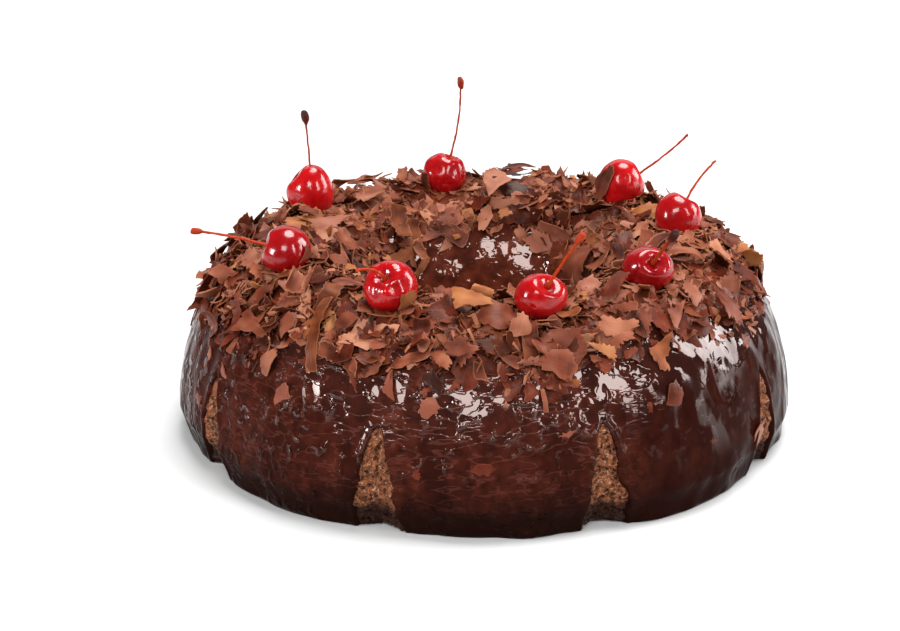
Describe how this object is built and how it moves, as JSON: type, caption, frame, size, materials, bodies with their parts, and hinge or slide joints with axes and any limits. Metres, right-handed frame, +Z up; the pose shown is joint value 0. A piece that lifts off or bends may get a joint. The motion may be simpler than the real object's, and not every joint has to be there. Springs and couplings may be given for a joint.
{
  "type": "soaked chocolate cake",
  "caption": "Ring-shaped soaked chocolate cake with a poured glaze, bare sponge in its grooves, strewn chocolate flakes and whole cherries on stems along its ridge.",
  "frame": {"origin": "on the ring's axis, on the flat underside", "axes": "+Z up along the ring's axis, -Y towards the front that the picture shows, +X to the right seen from the front"},
  "size_m": [0.2413, 0.2427, 0.1191],
  "materials": {
    "glaze": "dark chocolate glaze, wet gloss",
    "sponge": "porous chocolate sponge, moist",
    "flakes": "milk chocolate flakes, satin",
    "cherry": "syrup-soaked red fruit skin, glossy",
    "stem": "thin red-brown fruit stalk, satin"
  },
  "bodies": {
    "root": {"cake": "glaze", "cherry_1": "cherry", "stem_1": "stem", "cherry_2": "cherry", "stem_2": "stem", "cherry_3": "cherry", "stem_3": "stem", "cherry_4": "cherry", "stem_4": "stem", "cherry_5": "cherry", "stem_5": "stem", "cherry_6": "cherry", "stem_6": "stem", "cherry_7": "cherry", "stem_7": "stem", "cherry_8": "cherry", "stem_8": "stem"}
  },
  "joints": []
}
